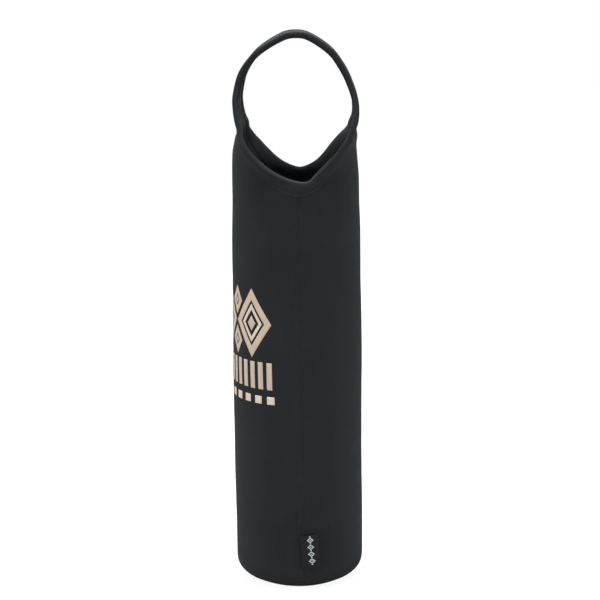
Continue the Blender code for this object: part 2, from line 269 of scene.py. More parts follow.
SPINE = profile_points()
SPINE_LENGTHS = [0.0]
for near, far in zip(SPINE, SPINE[1:]):
    SPINE_LENGTHS.append(SPINE_LENGTHS[-1] + math.dist(near, far))
CROWN_LENGTH = SPINE_LENGTHS[-1]
NORMAL_STEP = BASE_CORNER_RADIUS / SPINE_STEPS


@functools.lru_cache(maxsize=None)
def spine_point(length):
    """Radius and height of the outer face at a length from the base seam."""
    index = bisect.bisect_right(SPINE_LENGTHS, length) - 1
    index = max(0, min(index, len(SPINE) - 2))
    start = Vector(SPINE[index])
    end = Vector(SPINE[index + 1])
    span = SPINE_LENGTHS[index + 1] - SPINE_LENGTHS[index]
    return start + (end - start) * ((length - SPINE_LENGTHS[index]) / span)


def length_at_height(height):
    """Length from the base seam to a height on the outer face."""
    low = 0.0
    high = CROWN_LENGTH
    for _ in range(SEARCH_STEPS):
        middle = (low + high) / 2
        if spine_point(middle).y < height:
            low = middle
        else:
            high = middle
    return (low + high) / 2


NOTCH_LENGTH = length_at_height(SLEEVE_HEIGHT)
STRAP_LENGTH = length_at_height(SLEEVE_HEIGHT + FLARE_HEIGHT)
NOTCH_RADIUS = spine_point(NOTCH_LENGTH).x
QUARTER_WIDTH = NOTCH_RADIUS * math.pi / 2


def smooth_share(value):
    """Share that rises softly from 0 to 1 as the value does."""
    value = max(0.0, min(1.0, value))
    return value * value * (3 - 2 * value)


def band_share(value, low, high, fade):
    """1 between two bounds and 0 past them, with a soft edge inside each."""
    return smooth_share((value - low) / fade) * smooth_share((high - value) / fade)


def bell_share(distance, reach):
    """1 at no distance, falling off like a bell over the reach."""
    return math.exp(-((distance / reach) ** 2))


def soft_bumps(place, bumps):
    """Height at a place of soft bumps, each with its centre, reach and rise."""
    height = 0.0
    for centre, reach, rise in bumps:
        distance = (place - Vector(centre)).length
        if distance < BUMP_SPREAD * reach:
            height += rise * bell_share(distance, reach)
    return height


@functools.lru_cache(maxsize=None)
def across_radius(length):
    """Radius of the panel across its width: round the sleeve, almost flat in the strap."""
    radius, height = spine_point(length)
    if height <= SLEEVE_HEIGHT:
        return radius
    share = smooth_share((height - SLEEVE_HEIGHT) / (FLARE_HEIGHT * FLATTENING_SHARE))
    curvature = (1 - share) / NOTCH_RADIUS + share * CROWN_CURVATURE_SHARE / OUTER_RADIUS
    return 1 / curvature


def edge_angle(length):
    """Angle from the panel's middle to its edge, a quarter turn below the notches."""
    if length <= NOTCH_LENGTH:
        return math.pi / 2
    share = min(1.0, (spine_point(length).y - SLEEVE_HEIGHT) / FLARE_HEIGHT)
    flare = (1 - share**FLARE_SHARPNESS_SHARE) ** FLARE_ROUNDING_SHARE
    half_width = STRAP_WIDTH / 2 + (QUARTER_WIDTH - STRAP_WIDTH / 2) * flare
    fill = (share / FLARE_FILL_SHARE) ** 2
    half_width += FLARE_FILL * fill * math.exp(1 - fill)
    return half_width / across_radius(length)


@functools.lru_cache(maxsize=None)
def inward_way(length):
    """Unit direction in which a row of the panel curves back from its middle."""
    along = (spine_point(length + NORMAL_STEP) - spine_point(length - NORMAL_STEP)).normalized()
    share = smooth_share((spine_point(length).y - SLEEVE_HEIGHT) / FLARE_HEIGHT)
    return Vector((0.0, 1.0, 0.0)).lerp(Vector((0.0, along.y, along.x)), share).normalized()


def face_point(angle, length):
    """Point on the front panel's outer face."""
    radius, height = spine_point(length)
    bend = across_radius(length)
    point = Vector((bend * math.sin(angle), -radius, height))
    return point + inward_way(length) * (bend * (1 - math.cos(angle)))


def face_directions(angle, length):
    """Unit directions across and along the front panel's outer face."""
    turn = NORMAL_STEP / OUTER_RADIUS
    across = face_point(angle + turn, length) - face_point(angle - turn, length)
    along = face_point(angle, length + NORMAL_STEP) - face_point(angle, length - NORMAL_STEP)
    return across.normalized(), along.normalized()


def at_height(stops, height):
    """Value at a height, on a smooth curve through pairs of height and value."""
    if height <= stops[0][0]:
        return stops[0][1]
    if height >= stops[-1][0]:
        return stops[-1][1]
    index = bisect.bisect_right(stops, (height, math.inf)) - 1
    low, start = stops[index]
    high, end = stops[index + 1]
    before, after = stops[max(index - 1, 0)], stops[min(index + 2, len(stops) - 1)]
    run = high - low
    start_slope = (end - before[1]) / (high - before[0]) * run
    end_slope = (after[1] - start) / (after[0] - low) * run
    share = (height - low) / run
    square = share * share
    cube = square * share
    value = start + (end - start) * (3 * square - 2 * cube)
    return value + start_slope * (cube - 2 * square + share) + end_slope * (cube - square)


def relief(place):
    """How far the laminate stands off its plain form at a place on the sleeve."""
    lift = at_height(FULLNESS, place.z) * smooth_share(abs(place.y) / FULLNESS_REACH)
    lift += noise.noise(place / WAVE_SIZE) * WAVE_HEIGHT
    lift += noise.noise(place / RIPPLE_SIZE) * RIPPLE_HEIGHT
    if place.z < SLEEVE_HEIGHT:
        fade = smooth_share((SLEEVE_HEIGHT - place.z) / BINDING_WIDTH)
        fade *= smooth_share(place.z / BASE_CORNER_RADIUS)
        drift = noise.noise(Vector((place.x, 0.0, place.z)) / WAVE_SIZE) * math.pi
        wave = math.sin(2 * math.pi * place.z / PUCKER_PITCH + drift)
        lift += wave * fade * PUCKER_HEIGHT * math.exp(-abs(place.y) / PUCKER_REACH)
        swell = bell_share(place.y + SEAM_SWELL_OFF, SEAM_SWELL_REACH)
        lift += SEAM_SWELL_HEIGHT * swell * fade
    if place.x > 0:
        rest = smooth_share((REST_WIDTH - abs(place.y)) / REST_FADE)
        rest *= band_share(place.z, REST_LOW, REST_HIGH, REST_FADE)
        lift -= (lift + REST_DEPTH) * rest
        pleat = band_share(place.z, PLEAT_LOW, PLEAT_HIGH, PLEAT_FADE)
        for middle, reach, rise in PLEAT_FOLDS:
            lift += rise * pleat * bell_share(place.y - middle, reach)
    return lift - soft_bumps(place, DENTS)


def tucked(place):
    """A place moved in where the handle's foot would stand out past the round of the sleeve."""
    spare = math.hypot(place.x, place.y) - TUCK_RADIUS
    if spare <= 0 or place.z < SLEEVE_HEIGHT:
        return place
    reach = TUCK_RADIUS + spare / (1 + spare / TUCK_GIVE)
    across = math.sqrt(max(reach * reach - place.y * place.y, 0.0))
    return Vector((math.copysign(across, place.x), place.y, place.z))


def swayed(place):
    """A place on the plain form, moved to where the soft sleeve lies."""
    place = tucked(place)
    rise = place.z - SLEEVE_HEIGHT
    reach = SKEW_ABOVE if rise > 0 else SKEW_BELOW
    pull = NOTCH_SKEW * bell_share(rise, reach) * bell_share(place.y, SKEW_WIDTH)
    if place.x < 0:
        pull *= FAR_SKEW_SHARE
    ease = BACK_EASE_SHARE * smooth_share(rise / FLARE_HEIGHT)
    ease *= smooth_share(place.y / FULLNESS_REACH)
    turn = math.radians(at_height(TWIST, place.z) * (1 - ease))
    push = Vector((0.0, at_height(LEAN, place.z) + pull, soft_bumps(place, SLACK)))
    return Matrix.Rotation(turn, 3, "Z") @ place + push


def wall_point(angle, length, offset, side=1, hand=1):
    """Point off a panel's outer face, outward by the offset.

    Side is 1 on the front panel and -1 on the back one. Hand is -1 to mirror the point to
    the other side seam.
    """
    across, along = face_directions(angle, length)
    normal = across.cross(along).normalized()
    place = face_point(angle, length)
    for way in (place, normal):
        way.x *= hand
        way.y *= side
    return swayed(place + normal * (offset + relief(place)))


@functools.lru_cache(maxsize=None)
def opening_stations(flare_stops, strap_stops):
    """Stations up the edge of a side opening, on the front panel, from seam to crown.

    Each has the edge's angle and length, and how the way into the panel is shared between
    across and along it.
    """
    lengths = [
        length_at_height(SLEEVE_HEIGHT + FLARE_HEIGHT * (stop / flare_stops) ** FLARE_STOP_POWER)
        for stop in range(flare_stops + 1)
    ]
    run = CROWN_LENGTH - STRAP_LENGTH
    lengths += [STRAP_LENGTH + run * stop / strap_stops for stop in range(1, strap_stops + 1)]
    places = [face_point(edge_angle(length), length) for length in lengths]
    mirrored = Vector((1.0, -1.0, 1.0))
    around = [places[1] * mirrored, *places, places[-2] * mirrored]
    stations = []
    for index, length in enumerate(lengths):
        angle = edge_angle(length)
        tangent = around[index + 2] - around[index]
        across, along = face_directions(angle, length)
        normal = across.cross(along).normalized()
        way = normal.cross(tangent).normalized()
        stations.append((angle, length, way.dot(across), way.dot(normal.cross(across))))
    return tuple(stations)


def level_radius(length):
    """Radius that turns a distance across the panel into an angle, the same below the notches."""
    return across_radius(max(length, NOTCH_LENGTH))


def station_place(station, inset):
    """Angle and length at an inset from the opening's edge into the panel."""
    angle, length, across_share, along_share = station
    end = length + inset * along_share
    across = angle * level_radius(length) + inset * across_share
    return across / level_radius(end), end


def panel_rows(step, inset):
    """Length and edge angle of each row of a panel, from the base seam to the crown."""
    stations = opening_stations(round(FLARE_RUN / step), round(STRAP_RUN / step))
    places = [station_place(station, inset) for station in stations]
    rows = [(stop, math.pi / 2) for stop in ROLL_STOPS]
    start = ROLL_STOPS[-1]
    run = places[0][1] - start
    count = round(run / step)
    rows += [(start + run * stop / count, math.pi / 2) for stop in range(1, count)]
    rows += [(length, min(angle, math.pi / 2)) for angle, length in places[:-2]]
    last_angle = places[-1][0]
    rows += [(CROWN_LENGTH - stop, last_angle) for stop in reversed(ROLL_STOPS)]
    return rows


def panel_columns(step):
    """Shares of a row's edge angle, from one edge of the panel to the other."""
    width = OUTER_RADIUS * math.pi / 2
    half = [1 - stop / width for stop in ROLL_STOPS + PLEAT_STOPS]
    count = round((width - PLEAT_STOPS[-1]) / step)
    half += [half[-1] * (1 - stop / count) for stop in range(1, count)]
    return [-share for share in half] + [0.0] + half[::-1]


def roll_depth(distance):
    """Drop of the jersey at a distance from the seam that it rolls into."""
    reach = max(0.0, 1 - distance / SEAM_ROLL)
    return SEAM_ROLL * (1 - math.sqrt(1 - reach * reach))


def write_cut(shape, cut):
    """Keep each point's place on the flat cut as a UV map, in metres."""
    layer = shape.loops.layers.uv.new("cut")
    for face in shape.faces:
        for loop in face.loops:
            loop[layer].uv = cut[loop.vert]


def panel_ply(side, step, inset, top, rolls):
    """Outer face of one ply of a panel, as a bmesh with its cut as a UV map in metres."""
    rows = panel_rows(step, inset)
    columns = panel_columns(step)
    shape = bmesh.new()
    bmesh.ops.create_grid(shape, x_segments=len(columns) - 1, y_segments=len(rows) - 1, size=0.5)
    cut = {}
    for point in shape.verts:
        share = columns[round((point.co.x + 0.5) * (len(columns) - 1))]
        length, edge = rows[round((point.co.y + 0.5) * (len(rows) - 1))]
        angle = edge * share
        across = angle * across_radius(length)
        offset = top
        if rolls:
            depth = roll_depth(length) + roll_depth(CROWN_LENGTH - length)
            if edge >= math.pi / 2:
                depth += roll_depth(OUTER_RADIUS * math.pi / 2 * (1 - abs(share)))
            offset -= min(depth, SEAM_ROLL)
        point.co = wall_point(angle, length, offset, side)
        cut[point] = (across, length)
    write_cut(shape, cut)
    if side < 0:
        bmesh.ops.reverse_faces(shape, faces=shape.faces[:])
    return shape


def sewn_piece(name, shape, material, thickness=0.0):
    """Smooth-shaded object from a bmesh. A thickness is laid on under the outer face."""
    mesh = bpy.data.meshes.new(name)
    shape.to_mesh(mesh)
    shape.free()
    mesh.shade_smooth()
    mesh.materials.append(material)
    piece = bpy.data.objects.new(name, mesh)
    bpy.context.collection.objects.link(piece)
    if thickness:
        wall = piece.modifiers.new("thickness", "SOLIDIFY")
        wall.thickness = thickness
        wall.offset = -1.0
    return piece


def cut_area(inset):
    """Area of a panel's flat cut, its openings' edges inset, in square metres."""
    rows = panel_rows(CLOTH_STEP, inset)
    area = 0.0
    for (start, edge), (end, far_edge) in zip(rows, rows[1:]):
        near_width = 2 * edge * across_radius(start)
        far_width = 2 * far_edge * across_radius(end)
        area += (near_width + far_width) / 2 * (end - start)
    return area


def join(material, kind, inputs, **settings):
    """Add a node to a material, with values or links in its sockets; return its output."""
    node = material.node_tree.nodes.new(kind)
    for name, value in settings.items():
        setattr(node, name, value)
    for socket, value in inputs.items():
        if isinstance(value, bpy.types.NodeSocket):
            material.node_tree.links.new(value, node.inputs[socket])
        else:
            node.inputs[socket].default_value = value
    return node.outputs[0]


def calculate(material, operation, first, second=0.0, third=0.0):
    """Add a sum to a material; return its result."""
    return join(material, "ShaderNodeMath", {0: first, 1: second, 2: third}, operation=operation)


def tinted(material, share, dark, light):
    """Colour between a dark and a light one."""
    colour = join(material, "ShaderNodeValToRGB", {0: share})
    ramp = colour.node.color_ramp
    ramp.elements[0].color = (*dark, 1.0)
    ramp.elements[1].color = (*light, 1.0)
    return colour


def cloudiness(material, size, detail=4.0):
    """Soft random share over the surface, with clouds of about the given size."""
    place = join(material, "ShaderNodeTexCoord", {}).node.outputs["Object"]
    return join(
        material,
        "ShaderNodeTexNoise",
        {"Vector": place, "Scale": 1 / size, "Detail": detail, "Roughness": 0.6},
    )


def clouded(material, grain, grain_share, cloud_size):
    """Share of tone: soft clouds, and the grain's height, which paints shade in knit furrows."""
    clouds = calculate(material, "MULTIPLY", cloudiness(material, cloud_size), 1 - grain_share)
    return calculate(material, "MULTIPLY_ADD", grain, grain_share, clouds)


def knit_height(material, wale, course):
    """Height of plain knitting: columns of slanted loops, from the cut's UV map."""
    place = join(material, "ShaderNodeUVMap", {}, uv_map="cut")
    across = join(material, "ShaderNodeSeparateXYZ", {0: place})
    along = across.node.outputs[1]
    leg = calculate(material, "PINGPONG", calculate(material, "DIVIDE", across, wale), 0.5)
    leg = calculate(material, "MULTIPLY", leg, 2.0)
    turns = calculate(material, "DIVIDE", along, course)
    turns = calculate(material, "MULTIPLY_ADD", leg, LOOP_SLANT, turns)
    loop = calculate(material, "SINE", calculate(material, "MULTIPLY", turns, 2 * math.pi))
    loop = calculate(material, "MULTIPLY_ADD", loop, 0.5, 0.5)
    furrow = calculate(material, "MULTIPLY", leg, FURROW_STEEPNESS)
    furrow = calculate(material, "MINIMUM", furrow, 1.0)
    return calculate(material, "MULTIPLY", loop, furrow)


def new_finish(name, roughness, gloss, sheen=0.0, sheen_roughness=0.5):
    """Material with its uniform values on the shader's own sockets."""
    material = bpy.data.materials.new(name)
    material.use_nodes = True
    shader = material.node_tree.nodes["Principled BSDF"]
    shader.inputs["Roughness"].default_value = roughness
    shader.inputs["Specular IOR Level"].default_value = gloss
    shader.inputs["Sheen Weight"].default_value = sheen
    shader.inputs["Sheen Roughness"].default_value = sheen_roughness
    return material


def dress(material, colour, height, depth, strength):
    """Link a colour and a bump of the given depth to a material's shader."""
    shader = material.node_tree.nodes["Principled BSDF"]
    bump = join(
        material,
        "ShaderNodeBump",
        {"Height": height, "Distance": depth, "Strength": strength},
    )
    material.node_tree.links.new(colour, shader.inputs["Base Color"])
    material.node_tree.links.new(bump, shader.inputs["Normal"])


def knitted_cloth(name, dark, light, wale, course, sheen):
    """Matte jersey knit with soft clouds of tone, and painted shade in the furrows between loops.
    """
    material = new_finish(name, roughness=0.9, gloss=0.08, sheen=sheen, sheen_roughness=0.45)
    height = knit_height(material, wale, course)
    # The knit's height darkens its furrows: painted shade, mixed with clouds of real tone
    share = clouded(material, height, KNIT_SHADE_SHARE, JERSEY_CLOUD)
    dress(material, tinted(material, share, dark, light), height, KNIT_RELIEF, strength=0.6)
    return material


# Knit of the jersey: its colours, the width of a column and the height of a row of loops,
# how steeply the loops lie, its relief and its clouds, and the share of its tone that is
# painted shade in the furrows between its loops
JERSEY_DARK = (0.0110, 0.0127, 0.0146)
JERSEY_LIGHT = (0.0218, 0.0248, 0.0280)
JERSEY_WALE = 0.0009
JERSEY_COURSE = 0.0007
JERSEY_SHEEN = 0.02
JERSEY_CLOUD = 0.03
LOOP_SLANT = 0.6
FURROW_STEEPNESS = 3.0
KNIT_SHADE_SHARE = 0.45
KNIT_RELIEF = 0.00018
outer_knit = knitted_cloth(
    "outer_knit", JERSEY_DARK, JERSEY_LIGHT, JERSEY_WALE, JERSEY_COURSE, JERSEY_SHEEN
)

for panel, side in (("front", 1), ("back", -1)):
    jersey = sewn_piece(
        panel + "_jersey",
        panel_ply(side, CLOTH_STEP, TAPE_COVER, 0.0, rolls=True),
        outer_knit,
        JERSEY_THICKNESS,
    )
    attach(jersey, "sleeve")
    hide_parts(panel + "_outer_jersey")
    cut_area(TAPE_COVER)

# Print on the front panel
# A flat decoration in tan ink, screened on the jersey before the panel is sewn: nested
# lozenges over a band of slats and a row of squares, each a thin film of ink.
INK_THICKNESS = 0.00005
INK_OFFSET = 0.00012
INK_STEP = 0.0012
PRINT_BOTTOM = 0.1242
PRINT_TAN = (0.505, 0.405, 0.318)
PRINT_PALE = (0.600, 0.510, 0.420)
LOZENGE_BOTTOM = 0.1537
LOZENGE_SIZE = (0.0290, 0.0440)
LOZENGE_GAP = 0.0018
LOZENGE_RINGS = ((0, 4), (12, 18))
PALE_RING = (7, 10)
SMALL_RINGS = ((0, 5), (8, 18))
SMALL_SHARE = 0.42
LOZENGE_CELLS = 18
SLAT_BOTTOM = 0.1337
SLAT_HEIGHT = 0.0175
SLAT_PITCH = 0.0062
SLAT_WIDTH = 0.0036
SLAT_COUNT = 15
SQUARE_SIZE = 0.0050
SQUARE_PITCH = 0.0088
SQUARE_COUNT = 11
INK_GRAIN = 0.0006
INK_GRAIN_SHARE = 0.5
INK_CLOUD = 0.008
INK_RELIEF = 0.00005
INK_DARK_SHARE = 0.82
INK_LIGHT_SHARE = 1.12
CORNER_LENGTH = SPINE_LENGTHS[SPINE_STEPS]


def add_shape(shape, part):
    """Add a bmesh to another."""
    mesh = bpy.data.meshes.new("part")
    part.to_mesh(mesh)
    part.free()
    shape.from_mesh(mesh)
    bpy.data.meshes.remove(mesh)


def ink_lozenge(shape, middle, size, rings, place):
    """Nested rings of a lozenge, from a grid turned on its corner, laid by a rule."""
    part = bmesh.new()
    bmesh.ops.create_grid(
        part, x_segments=2 * LOZENGE_CELLS, y_segments=2 * LOZENGE_CELLS, size=LOZENGE_CELLS
    )
    waste = []
    for cell in part.faces:
        centre = cell.calc_center_median()
        ring = max(abs(centre.x), abs(centre.y))
        if not any(start < ring < end for start, end in rings):
            waste.append(cell)
    bmesh.ops.delete(part, geom=waste, context="FACES")
    for point in part.verts:
        across = (point.co.x - point.co.y) / (2 * LOZENGE_CELLS) * size[0] / 2
        along = (point.co.x + point.co.y) / (2 * LOZENGE_CELLS) * size[1] / 2
        point.co = place(middle[0] + across, middle[1] + along)
    add_shape(shape, part)


def ink_bar(shape, middle, size, step, place):
    """Filled rectangle of ink, laid by a rule."""
    part = bmesh.new()
    bmesh.ops.create_grid(
        part,
        x_segments=max(1, round(size[0] / step)),
        y_segments=max(1, round(size[1] / step)),
        size=0.5,
    )
    for point in part.verts:
        point.co = place(middle[0] + point.co.x * size[0], middle[1] + point.co.y * size[1])
    add_shape(shape, part)


def on_front(across, height):
    """Point of the print, at an arc from the front panel's middle and at a height."""
    length = CORNER_LENGTH + height - BASE_CORNER_RADIUS
    return wall_point(across / OUTER_RADIUS, length, INK_OFFSET)


def printed_ink(name, colour):
    """Ink film that sinks into the knit, thin in places."""
    material = new_finish(name, roughness=0.75, gloss=0.25)
    grain = cloudiness(material, INK_GRAIN, detail=2.0)
    share = clouded(material, grain, INK_GRAIN_SHARE, INK_CLOUD)
    dark = [value * INK_DARK_SHARE for value in colour]
    light = [value * INK_LIGHT_SHARE for value in colour]
    dress(material, tinted(material, share, dark, light), grain, INK_RELIEF, strength=0.4)
    return material


print_shapes = {"tan": bmesh.new(), "pale": bmesh.new()}
lozenge_middle = LOZENGE_BOTTOM + LOZENGE_SIZE[1] / 2
for column in (-1, 0, 1):
    middle = (column * (LOZENGE_SIZE[0] + LOZENGE_GAP), lozenge_middle)
    ink_lozenge(print_shapes["tan"], middle, LOZENGE_SIZE, LOZENGE_RINGS, on_front)
    ink_lozenge(print_shapes["pale"], middle, LOZENGE_SIZE, (PALE_RING,), on_front)
small_size = [side * SMALL_SHARE for side in LOZENGE_SIZE]
for column in (-0.5, 0.5):
    for row in (-1, 1):
        rise = row * (LOZENGE_SIZE[1] - small_size[1]) / 2
        middle = (column * (LOZENGE_SIZE[0] + LOZENGE_GAP), lozenge_middle + rise)
        ink_lozenge(print_shapes["tan"], middle, small_size, SMALL_RINGS, on_front)
for column in range(SLAT_COUNT):
    middle = ((column - (SLAT_COUNT - 1) / 2) * SLAT_PITCH, SLAT_BOTTOM + SLAT_HEIGHT / 2)
    ink_bar(print_shapes["tan"], middle, (SLAT_WIDTH, SLAT_HEIGHT), INK_STEP, on_front)
for column in range(SQUARE_COUNT):
    middle = ((column - (SQUARE_COUNT - 1) / 2) * SQUARE_PITCH, PRINT_BOTTOM + SQUARE_SIZE / 2)
    ink_bar(print_shapes["pale"], middle, (SQUARE_SIZE, SQUARE_SIZE), INK_STEP, on_front)
for tone, colour in (("tan", PRINT_TAN), ("pale", PRINT_PALE)):
    ink = printed_ink("ink_" + tone, colour)
    print_piece = sewn_piece("front_print_" + tone, print_shapes[tone], ink, INK_THICKNESS)
    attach(print_piece, "sleeve")

# Foam cores of the panels
# Black closed-cell foam, the insulation of the sleeve, glued between the two jerseys and
# hidden by them, its edges butted at the seams and covered by the tape at the openings.
PLY_GAP = 0.0003
FOAM_THICKNESS = 0.0015
FOAM_TOP = -JERSEY_THICKNESS - PLY_GAP
FOAM_STEP = 0.003
FOAM_CELL = 0.0005
FOAM_RELIEF = 0.0001
FOAM_DARK = (0.007, 0.007, 0.008)
FOAM_LIGHT = (0.020, 0.020, 0.022)
foam_rubber = new_finish("foam_rubber", roughness=0.95, gloss=0.15)
foam_place = join(foam_rubber, "ShaderNodeTexCoord", {}).node.outputs["Object"]
foam_cells = join(
    foam_rubber, "ShaderNodeTexVoronoi", {"Vector": foam_place, "Scale": 1 / FOAM_CELL}
)
foam_colour = tinted(foam_rubber, foam_cells, FOAM_DARK, FOAM_LIGHT)
dress(foam_rubber, foam_colour, foam_cells, FOAM_RELIEF, strength=0.5)

for panel, side in (("front", 1), ("back", -1)):
    foam = sewn_piece(
        panel + "_foam",
        panel_ply(side, FOAM_STEP, 0.0, FOAM_TOP, rolls=False),
        foam_rubber,
        FOAM_THICKNESS,
    )
    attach(foam, "sleeve")
    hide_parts(panel + "_foam_core")

# Linings of the panels
# The same knit as outside but near black, glued to the inner side of the foam. Its smooth
# face slides on the bottle, and it shows through the openings.
LINING_THICKNESS = 0.0005
LINING_TOP = FOAM_TOP - FOAM_THICKNESS - PLY_GAP
LINING_STEP = 0.0022
WALL_THICKNESS = LINING_THICKNESS - LINING_TOP
LINING_DARK = (0.0105, 0.0120, 0.0145)
LINING_LIGHT = (0.0200, 0.0225, 0.0265)
LINING_WALE = 0.00065
LINING_COURSE = 0.0005
LINING_SHEEN = 0.06
lining_knit = knitted_cloth(
    "lining_knit", LINING_DARK, LINING_LIGHT, LINING_WALE, LINING_COURSE, LINING_SHEEN
)

for panel, side in (("front", 1), ("back", -1)):
    lining = sewn_piece(
        panel + "_lining_cloth",
        panel_ply(side, LINING_STEP, TAPE_COVER, LINING_TOP, rolls=False),
        lining_knit,
        LINING_THICKNESS,
    )
    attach(lining, "sleeve")
    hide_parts(panel + "_lining")
    cut_area(TAPE_COVER)

# Base
# A round of the same laminate that closes the sleeve below: jersey outside, foam, and
# lining inside. It stands flat, and its raised rim rolls into the base seam.
BASE_RIM_WIDTH = 0.004
BASE_RIM_STOPS = 6
BASE_STEPS = 96
BASE_RING_STEP = 0.0016
BASE_WAVE_HEIGHT = 0.00012
BASE_MERGE_REACH = 0.00001


def base_seam_point(offset):
    """Radius and height of the base seam, outward of the sleeve's face by the offset."""
    reach = BASE_CORNER_RADIUS + offset
    radius = OUTER_RADIUS - BASE_CORNER_RADIUS + reach * math.sin(BASE_SEAM_ANGLE)
    return radius, BASE_CORNER_RADIUS - reach * math.cos(BASE_SEAM_ANGLE)


def base_ply(top, rolls):
    """Outer face of one ply of the base, turned from its half outline."""
    rim_radius, rim_height = base_seam_point(top)
    flat_radius = rim_radius - BASE_RIM_WIDTH
    outline = []
    count = round(flat_radius / BASE_RING_STEP)
    for stop in range(count):
        outline.append((flat_radius * stop / count, -top))
    for stop in range(BASE_RIM_STOPS):
        share = stop / BASE_RIM_STOPS
        rise = smooth_share(share) * (rim_height + top)
        outline.append((flat_radius + (BASE_RIM_WIDTH - ROLL_STOPS[-1]) * share, -top + rise))
    for stop in reversed(ROLL_STOPS):
        depth = roll_depth(stop) if rolls else 0.0
        outline.append((rim_radius - stop, rim_height + depth))
    shape = bmesh.new()
    corners = [shape.verts.new((radius, 0.0, height)) for radius, height in outline]
    for start, end in zip(corners, corners[1:]):
        shape.edges.new((start, end))
    bmesh.ops.spin(
        shape,
        geom=shape.edges[:],
        cent=(0.0, 0.0, 0.0),
        axis=(0.0, 0.0, 1.0),
        angle=2 * math.pi,
        steps=BASE_STEPS,
        use_merge=True,
    )
    bmesh.ops.remove_doubles(shape, verts=shape.verts[:], dist=BASE_MERGE_REACH)
    bmesh.ops.recalc_face_normals(shape, faces=shape.faces[:])
    if sum(face.normal.z * face.calc_area() for face in shape.faces) > 0:
        bmesh.ops.reverse_faces(shape, faces=shape.faces[:])
    write_cut(shape, {point: point.co.xy for point in shape.verts})
    for point in shape.verts:
        point.co.z += (noise.noise(point.co / RIPPLE_SIZE) + 1) * BASE_WAVE_HEIGHT
    return shape


for piece_name, node, top, rolls, thickness, finish, slot in (
    ("base_jersey", "base_outer_jersey", 0.0, True, JERSEY_THICKNESS, outer_knit, "outer_jersey"),
    ("base_foam", "base_foam_core", FOAM_TOP, False, FOAM_THICKNESS, foam_rubber, "foam_core"),
    (
        "base_lining_cloth",
        "base_lining",
        LINING_TOP,
        False,
        LINING_THICKNESS,
        lining_knit,
        "lining",
    ),
):
    ply = sewn_piece(piece_name, base_ply(top, rolls), finish, thickness)
    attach(ply, "sleeve")
    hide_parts(node)

# Side seams
# Each side seam is a run of stitches in polyester thread, half sunk between the rolled
# edges of the two panels outside, and a zigzag over the butted linings inside.
THREAD_DIAMETER = 0.00045
THREAD_DEPTH = -0.00013
INNER_THREAD_DEPTH = -WALL_THICKNESS - THREAD_DIAMETER / 4
SEAM_STITCH = 0.0030
STITCH_LEAN = 0.0004
STITCH_GAP_SHARE = 0.04
ZIGZAG_STITCH = 0.0026
ZIGZAG_WIDTH = 0.0034
ZIGZAG_START = 2
THREAD_TWIST = 0.0003
THREAD_RELIEF = 0.00005
THREAD_DARK = (0.0095, 0.0108, 0.0124)
THREAD_LIGHT = (0.0205, 0.0232, 0.0262)

sewing_thread = new_finish(
    "sewing_thread", roughness=0.65, gloss=0.2, sheen=0.03, sheen_roughness=0.4
)
thread_twist = cloudiness(sewing_thread, THREAD_TWIST, detail=1.0)
thread_colour = tinted(sewing_thread, thread_twist, THREAD_DARK, THREAD_LIGHT)
dress(sewing_thread, thread_colour, thread_twist, THREAD_RELIEF, strength=0.4)

# Mesh of one stitch, an egg of length and width 1 that every stitch stretches
stitch_shape = bmesh.new()
bmesh.ops.create_uvsphere(stitch_shape, u_segments=8, v_segments=6, radius=0.5)
stitch_form = bpy.data.meshes.new("stitch")
stitch_shape.to_mesh(stitch_form)
stitch_shape.free()


def add_stitch(shape, start, end, diameter):
    """One stitch, a strand that dips into the cloth at both ends."""
    run = end - start
    size = Matrix.Diagonal((diameter, diameter, run.length, 1.0))
    turn = run.to_track_quat("Z", "Y").to_matrix().to_4x4()
    strand = stitch_form.copy()
    strand.transform(Matrix.Translation((start + end) / 2) @ turn @ size)
    shape.from_mesh(strand)
    bpy.data.meshes.remove(strand)


def stitch_ends(gap_share):
    """Share along its pitch and way off the seam of each end of a stitch."""
    return (gap_share, -1), (1 - gap_share, 1)


def zigzag_way(stop):
    """1 and -1 in turn."""
    return 1 - 2 * (stop % 2)


def seam_point(length, sway, offset, hand):
    """Point at a side seam, off it by the sway: to the front if that is negative."""
    side = 1 if sway < 0 else -1
    angle = math.pi / 2 - abs(sway) / across_radius(length)
    return wall_point(angle, length, offset, side, hand)


for name, hand in (("right", 1), ("left", -1)):
    shape = bmesh.new()
    start = 2 * SEAM_ROLL
    run = NOTCH_LENGTH - BINDING_WIDTH - 2 * SEAM_ROLL - start
    count = round(run / SEAM_STITCH)
    for stop in range(count):
        ends = []
        for share, way in stitch_ends(STITCH_GAP_SHARE):
            length = start + run * (stop + share) / count
            ends.append(seam_point(length, way * STITCH_LEAN, THREAD_DEPTH, hand))
        add_stitch(shape, *ends, THREAD_DIAMETER)
    start = BASE_CORNER_RADIUS
    count = round(run / ZIGZAG_STITCH)
    for stop in range(ZIGZAG_START, count):
        ends = []
        for end in (stop, stop + 1):
            length = start + (run - start) * end / count
            sway = ZIGZAG_WIDTH / 2 * zigzag_way(end)
            ends.append(seam_point(length, sway, INNER_THREAD_DEPTH, hand))
        add_stitch(shape, *ends, THREAD_DIAMETER)
    seam = sewn_piece(name + "_side_stitches", shape, sewing_thread)
    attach(seam, "sleeve")
    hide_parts(name + "_side_seam_thread")

